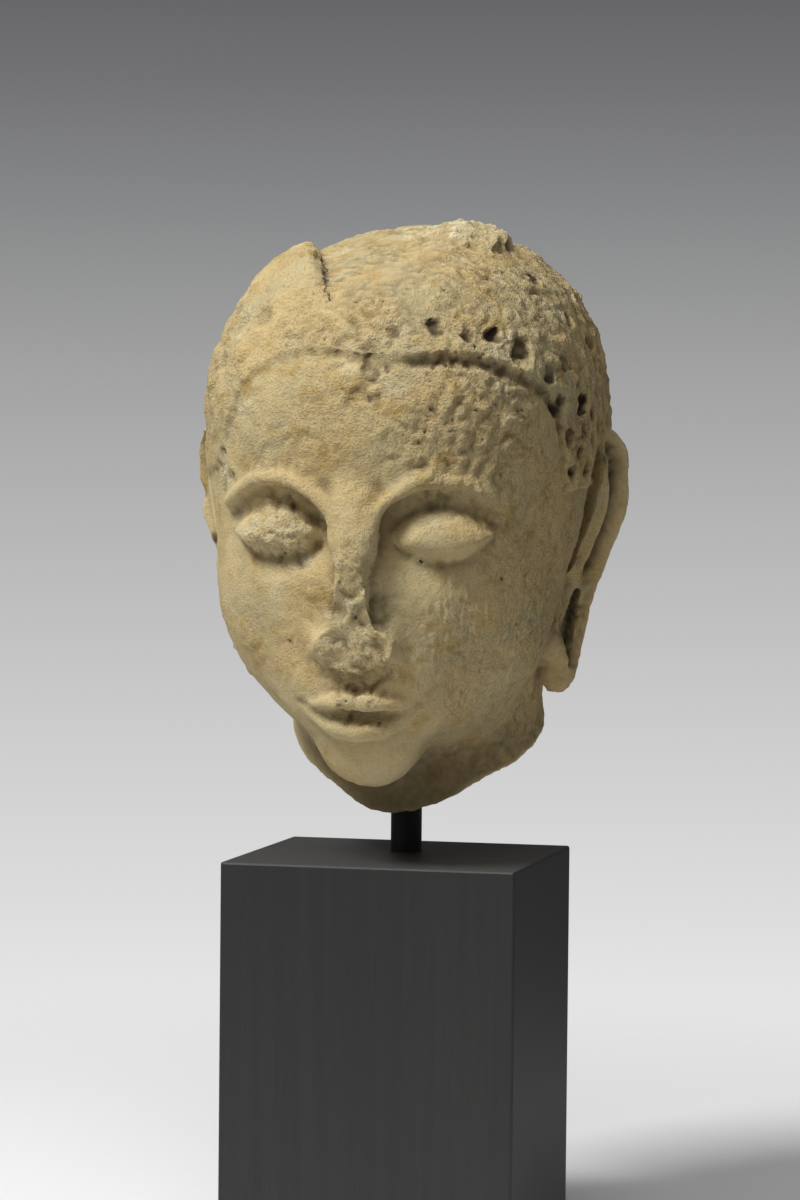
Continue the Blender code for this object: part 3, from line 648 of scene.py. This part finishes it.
# how far in or out the weathered skin lies, and where it is rough, fresh or holed
def relief(p):
    down, around = hairAngles(p)
    inHair = ramp(np.interp(around, *zip(*hair["hairline"])) - down, 0, 6)
    # the forehead and the +X side are pitted most, the chin and the -X cheek least
    rough = 0.46 + 0.26 * ramp(p[:, 2], 4, 20) + 0.22 * ramp(p[:, 0], 2, 24) + 0.12 * inHair
    rough = rough - 0.14 * ramp(-p[:, 2], 22, 34) - 0.16 * ramp(-p[:, 0], 12, 26) * (1 - inHair)
    rough = rough * (0.85 + 0.5 * noise(p, 8.0, 5))
    pale = 0.5 * ramp(noise(p, 6.0, 7), 0.25, 0.7) * ramp(p[:, 2], 10, 30)
    for middle, radius, roughness, paleness in wear["places"]:
        away = np.linalg.norm(p - np.array(middle), axis=1) / radius
        reach = 1 - ramp(away + 0.3 * noise(p, 3.0, 3), 0.55, 1.1)
        rough = np.maximum(rough, roughness * reach)
        pale = np.maximum(pale, paleness * reach * (0.6 + 0.6 * noise(p, 2.2, 4)))
    lidded = ellipsoid(p, eyeCentre, np.array(face["eyeRadii"]) + 1.5)
    rough = rough * (1 - 0.35 * (1 - ramp(lidded, -0.5, 1.5)))
    onEar = ramp(np.abs(p[:, 0]), 33, 36) * ramp(-p[:, 2], -15, -12) * ramp(p[:, 1], -8, -4)
    rough = rough * (1 - 0.4 * onEar)
    atBreak = 1 - ramp(np.abs(brokenNeck(p) - p[:, 2]), 0.5, 1.2)
    onRim = ramp(np.hypot(p[:, 0] - 0.8, p[:, 1] - 4.0), 21, 23)
    rough = np.maximum(rough * (1 - 0.7 * atBreak * onRim), 0.95 * atBreak * (1 - onRim))
    rough = np.clip(rough, 0.06, 1.7)
    deepened = 0.55 + 0.45 * inHair + 0.6 * np.clip(rough - 0.9, 0, 1)
    height = wear["dents"] * deepened * (noise(p, 6.0, 11) - 0.6)
    height += 0.1 * inHair * grains(p, 5.2, 17)
    # fine scratches run down the +X cheek
    scratched = ramp(p[:, 0], 6, 16) * ramp(-p[:, 1], 8, 18)
    scratched = scratched * ramp(-p[:, 2], 4, 12) * (1 - ramp(-p[:, 2], 34, 44))
    height += 0.16 * scratched * (grains(p * np.array([1, 1, 0.3]), 1.1, 31) - 0.4)
    for i, (spacing, amount) in enumerate(wear["grainSizes"]):
        height += amount * rough * (grains(p, spacing, 12 + i) - 0.4)
    holes = scatteredPits(p, 3.2, 0.85, 0.25, 21) * ramp(rough, 0.45, 0.95)
    holes = np.maximum(holes, scatteredPits(p, 1.7, 0.5, 0.3, 23) * ramp(rough, 0.5, 1.0))
    holes = np.maximum(holes, 0.8 * scatteredPits(p, 8.0, 0.55, 0.4, 22))
    holes = holes * (1 - 0.8 * inHair * ramp(-p[:, 0], 4, 14))
    height -= 0.5 * holes
    # the drilled pits have ragged walls, and earth in the bottom
    away, uneven = p - np.array(skull["centre"]), 0.3 * noise(p, 1.8, 8)
    for downAt, aroundAt, radius, depth in hair["pits"]:
        inPit = hollow(away, uneven, downAt, aroundAt, 1.15 * radius, 1.4 * radius, 1.0, 0.2)
        height = height + 0.45 * inPit * noise(p, 1.5, 9)
        holes = np.maximum(holes, min(0.8, 0.4 * depth) * ramp(inPit, 0.1, 1.0))
    for places, radius, depth in wear["gouges"]:
        near = np.linalg.norm(p - np.array(places).mean(axis=0), axis=1) < 9
        spots = places if len(places) > 1 else [places[0], tuple(np.array(places[0]) + 0.05)]
        ragged = 0.45 * noise(p[near], max(1.6, 0.8 * radius), 6)
        deep = 1 - ramp(strand(p[near], spots, [0.0] * len(spots)) / radius + ragged, 0.3, 1.0)
        height[near] -= depth * deep
        holes[near] = np.maximum(holes[near], deep * (1.0 if radius < 1 else 0.25))
    boreWall = 1 - ramp(fromRodAxis(p) - rodBore, 0.1, 0.6)
    return height * (1 - boreWall), rough, np.clip(pale, 0, 1), holes


def hexColour(text):
    values = [int(text[i:i + 2], 16) / 255 for i in (1, 3, 5)]
    return tuple(v / 12.92 if v <= 0.04045 else ((v + 0.055) / 1.055) ** 2.4 for v in values) + (1.0,)


def addNode(tree, kind, links=None, **settings):
    node = tree.nodes.new(kind)
    for name, value in settings.items():
        setattr(node, name, value)
    for socket, value in (links or {}).items():
        target = node.inputs[socket]
        if isinstance(value, bpy.types.NodeSocket):
            tree.links.new(value, target)
        else:
            target.default_value = value
    return node


def newMaterial(name, finish):
    made = bpy.data.materials.new(name)
    made.use_nodes = True
    tree = made.node_tree
    shader = tree.nodes["Principled BSDF"]
    for socket, value in finish.items():
        shader.inputs[socket].default_value = value
    return made, tree, shader


# Weathered sandstone, long buried: matte buff with grey and ochre stains, paler where it is rubbed smooth,
# brown earth in every hollow with painted shade laid into the recesses, and pale fresh stone where it has
# been knocked
stone = {
    "buff": "#C4AC79", "grey": "#BCAB7F", "ochre": "#B4985C", "rubbed": "#CCB98B", "dirtAndShade": "#4B3C28",
    "fresh": "#DFD3AD",
    # millimetres across, octaves, distortion
    "patterns": {"stain": (38.0, 4, 0.6), "mottle": (9.0, 5, 0.4), "grain": (1.2, 4, 0.0),
                 "speck": (0.6, 2, 0.0)},
    # where in a pattern, or in a value kept at the points, each begins and is full
    "layers": {"grey": ("stain", 0.42, 0.62), "ochre": ("mottle", 0.5, 0.7), "patches": ("mottle", 0.3, 0.55),
               "pores": ("grain", 0.5, 0.34), "smooth": ("rough", 0.5, 0.1)},
    # marks drawn on the stone, in the carving's parts
    "crackWidth": 0.10, "crackStrays": 3.0, "ringWidth": 0.12,
    "rings": [((23.9, -35.0, 17.7), 2.9), ((29.4, -29.9, 15.3), 2.4)],
}


def stoneMaterial():
    made, tree, shader = newMaterial("weatheredSandstone", {"Roughness": 0.85, "IOR": 1.5, "Metallic": 0.0})
    place = addNode(tree, "ShaderNodeTexCoord").outputs["Object"]
    given, shown = {}, {}
    for name, (size, octaves, distortion) in stone["patterns"].items():
        given[name] = addNode(tree, "ShaderNodeTexNoise", {
            "Vector": place, "Scale": 1000 / size, "Detail": octaves, "Roughness": 0.6,
            "Distortion": distortion}).outputs["Fac"]
    for name in ("dirtAndShade", "worn", "fresh", "rough"):
        given[name] = addNode(tree, "ShaderNodeAttribute", attribute_name=name).outputs["Fac"]
    for name, (source, low, high) in stone["layers"].items():
        shown[name] = addNode(tree, "ShaderNodeMapRange", {
            "Value": given[source], "From Min": low, "From Max": high},
            interpolation_type="SMOOTHSTEP").outputs["Result"]

    # rubbed pale where it is smooth or stands out
    exposed = addNode(tree, "ShaderNodeMath", {0: shown["smooth"], 1: given["worn"]},
                      operation="ADD").outputs[0]
    shown["rubbed"] = addNode(tree, "ShaderNodeMapRange", {
        "Value": exposed, "From Min": 0.2, "From Max": 1.3, "To Max": 0.75},
        interpolation_type="SMOOTHSTEP").outputs["Result"]
    shown["fresh"] = addNode(tree, "ShaderNodeMath", {0: given["fresh"], 1: shown["patches"]},
                             operation="MULTIPLY").outputs[0]
    # earth also fills the finest pores, most where the stone is rough
    porous = addNode(tree, "ShaderNodeMath", {0: given["rough"], 1: 0.28, 2: 0.08},
                     operation="MULTIPLY_ADD").outputs[0]
    filled = addNode(tree, "ShaderNodeMath", {0: shown["pores"], 1: porous}, operation="MULTIPLY").outputs[0]
    # the kept darkening also carries painted shade from the recesses, under the chin and on the +X lobe
    shown["dirtAndShade"] = addNode(tree, "ShaderNodeMath", {0: given["dirtAndShade"], 1: filled},
                            operation="MAXIMUM").outputs[0]
    colour = hexColour(stone["buff"])
    for name in ("grey", "ochre", "rubbed", "fresh", "dirtAndShade"):
        colour = addNode(tree, "ShaderNodeMix", {0: shown[name], 6: colour, 7: hexColour(stone[name])},
                         data_type="RGBA").outputs[2]
    light = addNode(tree, "ShaderNodeMapRange", {
        "Value": given["speck"], "From Min": 0.3, "From Max": 0.7, "To Min": 0.92,
        "To Max": 1.07}).outputs["Result"]
    colour = addNode(tree, "ShaderNodeMix", {0: 1.0, 6: colour, 7: light}, data_type="RGBA",
                     blend_type="MULTIPLY").outputs[2]

    # the hairline crack down from the crown, drawn close beside a line that strays
    carving = addNode(tree, "ShaderNodeAttribute", attribute_name="parts").outputs["Vector"]
    wobble = addNode(tree, "ShaderNodeTexNoise", {
        "Vector": carving, "Scale": 0.55, "Detail": 3.0}).outputs["Fac"]
    axes = addNode(tree, "ShaderNodeSeparateXYZ", {"Vector": carving}).outputs
    (start, swing), strays = hair["crack"], stone["crackStrays"]
    aside = addNode(tree, "ShaderNodeMath", {0: axes["Y"], 1: swing, 2: axes["X"]},
                    operation="MULTIPLY_ADD").outputs[0]
    strayed = addNode(tree, "ShaderNodeMath", {0: wobble, 1: strays, 2: start - strays / 2},
                      operation="MULTIPLY_ADD").outputs[0]
    beside = addNode(tree, "ShaderNodeMath", {0: aside, 1: strayed}, operation="ADD").outputs[0]
    beside = addNode(tree, "ShaderNodeMath", {0: beside}, operation="ABSOLUTE").outputs[0]
    crack = addNode(tree, "ShaderNodeMapRange", {
        "Value": beside, "From Min": stone["crackWidth"] * 1.6, "From Max": stone["crackWidth"]},
        interpolation_type="SMOOTHSTEP").outputs["Result"]
    # only above the hairline, and only in front
    for axis, low, high in (("Z", 41.0, 42.0), ("Y", -6.0, -8.0)):
        within = addNode(tree, "ShaderNodeMapRange", {"Value": axes[axis], "From Min": low, "From Max": high},
                         interpolation_type="SMOOTHSTEP").outputs["Result"]
        crack = addNode(tree, "ShaderNodeMath", {0: crack, 1: within}, operation="MULTIPLY").outputs[0]
    dark = addNode(tree, "ShaderNodeMath", {0: crack, 1: 0.9}, operation="MULTIPLY").outputs[0]
    colour = addNode(tree, "ShaderNodeMix", {0: dark, 6: colour, 7: hexColour(stone["dirtAndShade"])},
                     data_type="RGBA").outputs[2]

    # two faint broken rings beside the +X brow
    marks = crack
    broken = addNode(tree, "ShaderNodeMapRange", {
        "Value": wobble, "From Min": 0.42, "From Max": 0.56, "To Max": 0.4},
        interpolation_type="SMOOTHSTEP").outputs["Result"]
    for middle, radius in stone["rings"]:
        away = addNode(tree, "ShaderNodeVectorMath", {0: carving, 1: middle}, operation="DISTANCE")
        off = addNode(tree, "ShaderNodeMath", {0: away.outputs["Value"], 1: radius},
                      operation="SUBTRACT").outputs[0]
        off = addNode(tree, "ShaderNodeMath", {0: off}, operation="ABSOLUTE").outputs[0]
        ring = addNode(tree, "ShaderNodeMapRange", {
            "Value": off, "From Min": stone["ringWidth"] * 1.8, "From Max": stone["ringWidth"] * 0.6},
            interpolation_type="SMOOTHSTEP").outputs["Result"]
        ring = addNode(tree, "ShaderNodeMath", {0: ring, 1: broken}, operation="MULTIPLY").outputs[0]
        colour = addNode(tree, "ShaderNodeMix", {0: ring, 6: colour, 7: hexColour(stone["fresh"])},
                         data_type="RGBA").outputs[2]
        marks = addNode(tree, "ShaderNodeMath", {0: marks, 1: ring}, operation="MAXIMUM").outputs[0]
    tree.links.new(colour, shader.inputs["Base Color"])

    # grain a hand feels as sandpaper, coarser where the stone is rough
    cut = addNode(tree, "ShaderNodeMath", {0: marks, 1: -0.4, 2: given["grain"]},
                  operation="MULTIPLY_ADD").outputs[0]
    coarser = addNode(tree, "ShaderNodeMath", {0: given["rough"], 1: 0.35}, operation="ADD").outputs[0]
    depth = addNode(tree, "ShaderNodeMath", {0: cut, 1: coarser}, operation="MULTIPLY").outputs[0]
    coarse = addNode(tree, "ShaderNodeBump", {"Height": depth, "Strength": 1.0, "Distance": 0.0009})
    fine = addNode(tree, "ShaderNodeBump", {"Height": given["speck"], "Strength": 0.5, "Distance": 0.0004,
                                            "Normal": coarse.outputs["Normal"]})
    tree.links.new(fine.outputs["Normal"], shader.inputs["Normal"])
    return made


# Black satin paint sprayed on a mild steel rod: smooth, soft highlight
rodPaint = {"colour": "#0E0E10", "roughness": 0.38}


def paintMaterial():
    finish = {"Base Color": hexColour(rodPaint["colour"]), "Roughness": rodPaint["roughness"]}
    return newMaterial("sprayedBlackPaint", {**finish, "IOR": 1.5, "Metallic": 0.0})[0]


# Hardwood stained near black under thin matt wax: pores show as fine dark lines along the grain
wood = {
    # stain, paler bands and pores: the top's colours are lighter, painted light for the top catching the
    # light from above
    "sides": ("#232323", "#282726", "#1C1B1A"),
    "top": ("#3C3B3A", "#41403E", "#323130"),
    "poreWidth": 0.5, "poreLength": 22.0,       # millimetres
    # times the pores' size, octaves, and where in the pattern each begins and is full
    "bands": (9, 2.0, 0.35, 0.7), "pores": (1, 3.0, 0.58, 0.72),
}


def woodMaterial(name, colours, alongX):
    stain, pale, pore = (hexColour(text) for text in colours)
    made, tree, shader = newMaterial(name, {"Roughness": 0.5, "IOR": 1.5, "Metallic": 0.0})
    place = addNode(tree, "ShaderNodeTexCoord").outputs["Object"]
    across, along = 1000 / wood["poreWidth"], 1000 / wood["poreLength"]
    scale = (along, across, across) if alongX else (across, across, along)
    colour = stain
    for (wider, octaves, low, high), tint in ((wood["bands"], pale), (wood["pores"], pore)):
        stretched = addNode(tree, "ShaderNodeMapping", {
            "Vector": place, "Scale": tuple(s / wider for s in scale)}).outputs["Vector"]
        pores = addNode(tree, "ShaderNodeTexNoise", {
            "Vector": stretched, "Scale": 1.0, "Detail": octaves}).outputs["Fac"]
        cover = addNode(tree, "ShaderNodeMapRange", {"Value": pores, "From Min": low, "From Max": high},
                        interpolation_type="SMOOTHSTEP").outputs["Result"]
        colour = addNode(tree, "ShaderNodeMix", {0: cover, 6: colour, 7: tint}, data_type="RGBA").outputs[2]
    tree.links.new(colour, shader.inputs["Base Color"])
    bump = addNode(tree, "ShaderNodeBump", {"Height": pores, "Strength": 0.25, "Distance": 0.0003})
    tree.links.new(bump.outputs["Normal"], shader.inputs["Normal"])
    return made


# how far each point lies below the smoothed surface round it
def sunken(mesh, points, rounds):
    edges = np.zeros(len(mesh.edges) * 2, int)
    mesh.edges.foreach_get("vertices", edges)
    a, b = edges.reshape(-1, 2).T
    neighbourCount = np.bincount(a, minlength=len(points)) + np.bincount(b, minlength=len(points))
    smooth = points.copy()
    for _ in range(rounds):
        total = np.stack([np.bincount(a, smooth[b, i], len(points))
                          + np.bincount(b, smooth[a, i], len(points)) for i in range(3)], axis=1)
        smooth = total / neighbourCount[:, None]
    return ((smooth - points) * normalsOf(mesh)).sum(axis=1)


# The stone head
width = carvingMesh["cell"]
netPoints, netFaces = surfaceNet(stoneHead, (-46, -52, -63), (46, 50, 56), width, carvingMesh["halvings"])
netPoints = drawnOn(netPoints, width)
print("carving laid out:", len(netPoints), "points")
skin = meshFrom(netPoints, netFaces, "skin")
height, rough, pale, holes = relief(netPoints)
skinPoints = netPoints + normalsOf(skin) * height[:, None]
skin.vertices.foreach_set("co", skinPoints.ravel())
skin.update()
near, far = (sunken(skin, skinPoints, round(rounds / width)) for rounds in (1.6, 12))
print("skin weathered")

# earth lies in the hollows, and the same darkening is painted shade in the broader recesses; wear keeps what
# stands out clean
# painted shade under the chin, where the neck lies in shadow, with some real stain
neckShadeAndStain = ramp(-netPoints[:, 2], 40, 47) * ramp(netPoints[:, 1], -34, -26)
# painted light: the upper -X side, where the key light falls, keeps less of the darkening and shows paler
litSidePaintedLight = ramp(-netPoints[:, 0], 8, 16) * ramp(netPoints[:, 2], 18, 26)
onCrown = ramp(netPoints[:, 2], 32, 41) * ramp(netPoints[:, 0], -14, -6)
# painted shade on the +X ear lobe, on the side away from the light
lobeShade = ramp(-netPoints[:, 2], 14, 22) * ramp(netPoints[:, 0], 27, 31)
stainsAndShade = 0.4 * neckShadeAndStain + 0.3 * lobeShade + 0.2 * onCrown * (1 + noise(netPoints, 7.0, 19))
# the dark mix holds earth in pits and pores, painted shade in the recesses, under the chin and on the +X
# lobe, and is lightened on the lit -X side as painted light
dirtAndShade = np.clip(1.3 * near + 0.6 * far + 0.5 * holes + stainsAndShade, 0, 1) * (1 - 0.7 * pale) * (1 - 0.6 * litSidePaintedLight)
worn = np.clip(-2.0 * near - 0.5 * far, 0, 1)
fresh = np.clip(pale - 0.8 * dirtAndShade, 0, 1)
for name, values in (("dirtAndShade", dirtAndShade), ("worn", worn), ("fresh", fresh), ("rough", np.clip(rough, 0, 1))):
    skin.attributes.new(name, "FLOAT", "POINT").data.foreach_set("value", values.astype(np.float32))
# the carving's own coordinates, for marks drawn on the stone
ownPlaces = skin.attributes.new("parts", "FLOAT_VECTOR", "POINT")
ownPlaces.data.foreach_set("vector", netPoints.astype(np.float32).ravel())

turned = skinPoints @ headMatrix().T
rise = pose["blockHeight"] + pose["rodShown"] - (netPoints @ headMatrix().T)[:, 2].min()
placed = turned + np.array([pose["aside"], pose["rodBack"] - pose["ahead"], rise])
low, high = (np.array(corner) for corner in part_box("head"))
skin.vertices.foreach_set("co", np.clip(placed, low, high).ravel())
skin.update()
fullSkin = newObject("fullSkin", skin)
thin = fullSkin.modifiers.new("Fewer triangles", "DECIMATE")
thin.ratio = min(1.0, carvingMesh["triangles"] / (2 * len(netFaces)))
stoneMesh = bpy.data.meshes.new_from_object(fullSkin.evaluated_get(bpy.context.evaluated_depsgraph_get()))
bpy.data.objects.remove(fullSkin)
stoneMesh.name = "stoneHead"
stoneMesh.materials.append(stoneMaterial())
stoneMesh.shade_smooth()
headPiece = newObject("stoneHead", stoneMesh)
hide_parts("head")
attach(headPiece, bodyName)
print("stone head:", len(stoneMesh.vertices), "points,", len(stoneMesh.polygons), "faces")

# The rod and the block keep their CAD solids
rodPiece, blockPiece = frame["nodes"]["mount_rod"], frame["nodes"]["plinth_block"]
rodPiece.data.materials.clear()
rodPiece.data.materials.append(paintMaterial())
blockPiece.data.materials.clear()
blockPiece.data.materials.append(woodMaterial("stainedHardwoodSides", wood["sides"], False))
# the upward faces take the lighter copy of the stain: painted light on the top
blockPiece.data.materials.append(woodMaterial("stainedHardwoodPaintedLitTop", wood["top"], True))
for polygon in blockPiece.data.polygons:
    polygon.material_index = 1 if polygon.normal.z > 0.7 else 0
print("mount dressed")

studio = {
    "floorColour": "#F0F0F0",
    "floorRadius": 0.80, "fadeFrom": 0.25,
    # softboxes: where from, looking at, width, watts
    "softboxes": {
        "keySoftbox": ((-0.78, -0.97, 1.80), (0, 0, 0.28), 0.55, 43.0),
        "frontSoftbox": ((0.25, -1.35, 1.90), (0, 0, 0.30), 0.9, 9.0),
        "topSoftbox": ((0.1, -0.2, 1.9), (0, 0, 0.2), 1.2, 5.0),
    },
    # backdrop tones seen, by degrees above the horizon
    "backdrop": [(6.6, "#616163"), (4.9, "#737375"), (3.3, "#868788"), (0.8, "#A3A3A3"), (-1.7, "#B9B9B9"),
                 (-4.2, "#CDCDCD"), (-6.8, "#DEDEDE"), (-9.3, "#EEEEEE"), (-11.5, "#F5F5F5")],
    "fill": 0.10,
}

# Pale paper underfoot, which fades into the backdrop towards its edge
floorCorners = studio["floorRadius"] * np.array([(-1, -1, 0), (1, -1, 0), (1, 1, 0), (-1, 1, 0)])
floorMesh = meshFrom(floorCorners, np.array([(0, 1, 2, 3)]), "floor")
floor = newObject("floor", floorMesh)
floorFinish = {"Base Color": hexColour(studio["floorColour"]), "Roughness": 0.9}
floorMaterial, tree, shader = newMaterial("palePaper", floorFinish)
place = addNode(tree, "ShaderNodeTexCoord").outputs["Object"]
away = addNode(tree, "ShaderNodeVectorMath", {0: place}, operation="LENGTH").outputs["Value"]
solid = addNode(tree, "ShaderNodeMapRange", {
    "Value": away, "From Min": studio["fadeFrom"], "From Max": studio["floorRadius"], "To Min": 1.0,
    "To Max": 0.0}, interpolation_type="SMOOTHSTEP").outputs["Result"]
tree.links.new(solid, shader.inputs["Alpha"])
floorMesh.materials.append(floorMaterial)

world = bpy.data.worlds.new("studio")
bpy.context.scene.world = world
world.use_nodes = True
tree = world.node_tree
tree.nodes.clear()
direction = addNode(tree, "ShaderNodeTexCoord").outputs["Generated"]
upward = addNode(tree, "ShaderNodeSeparateXYZ", {"Vector": direction}).outputs["Z"]
levels = [(math.sin(math.radians(angle)), colour) for angle, colour in reversed(studio["backdrop"])]
lowest, highest = levels[0][0], levels[-1][0]
along = addNode(tree, "ShaderNodeMapRange", {
    "Value": upward, "From Min": lowest, "From Max": highest}).outputs["Result"]
tones = addNode(tree, "ShaderNodeValToRGB", {"Fac": along})
stops = tones.color_ramp.elements
for i, (level, colour) in enumerate(levels):
    at = (level - lowest) / (highest - lowest)
    stop = stops[i] if i < 2 else stops.new(at)
    stop.position, stop.color = at, hexColour(colour)
seen = addNode(tree, "ShaderNodeBackground", {"Color": tones.outputs["Color"], "Strength": 1.0})
lighting = addNode(tree, "ShaderNodeBackground", {"Color": (1, 1, 1, 1), "Strength": studio["fill"]})
cameraRay = addNode(tree, "ShaderNodeLightPath").outputs["Is Camera Ray"]
both = addNode(tree, "ShaderNodeMixShader", {0: cameraRay, 1: lighting.outputs[0], 2: seen.outputs[0]})
addNode(tree, "ShaderNodeOutputWorld", {"Surface": both.outputs[0]})


def softbox(name, place, target, size, power):
    data = bpy.data.lights.new(name, "AREA")
    data.shape, data.size, data.energy = "SQUARE", size, power
    made = bpy.data.objects.new(name, data)
    bpy.context.scene.collection.objects.link(made)
    made.location = place
    made.rotation_euler = (Vector(place) - Vector(target)).to_track_quat("Z", "Y").to_euler()


for name, settings in studio["softboxes"].items():
    softbox(name, *settings)

# metres, degrees, and a lens in millimetres
camera = {
    "place": (0.39110, -1.60932, 0.32946), "lens": 122.2,
    "azimuth": 13.6825, "elevation": 2.2821, "roll": 0.5515,
}
azimuth, elevation, roll = (math.radians(camera[name]) for name in ("azimuth", "elevation", "roll"))
right = Vector((math.cos(azimuth), math.sin(azimuth), 0))
level = Vector((math.sin(azimuth), -math.cos(azimuth), 0))
back = math.cos(elevation) * level + math.sin(elevation) * Vector((0, 0, 1))
up = back.cross(right)
rolledRight = math.cos(roll) * right + math.sin(roll) * up
rolledUp = math.cos(roll) * up - math.sin(roll) * right
lens = bpy.data.cameras.new("camera")
lens.lens, lens.sensor_width, lens.clip_end = camera["lens"], 36.0, 100.0
cameraObject = bpy.data.objects.new("camera", lens)
bpy.context.scene.collection.objects.link(cameraObject)
cameraObject.matrix_world = (Matrix.Translation(camera["place"])
                             @ Matrix((rolledRight, rolledUp, back)).transposed().to_4x4())
bpy.context.scene.camera = cameraObject
bpy.context.scene.view_settings.view_transform = "Standard"
print("studio set")

bpy.context.view_layer.update()
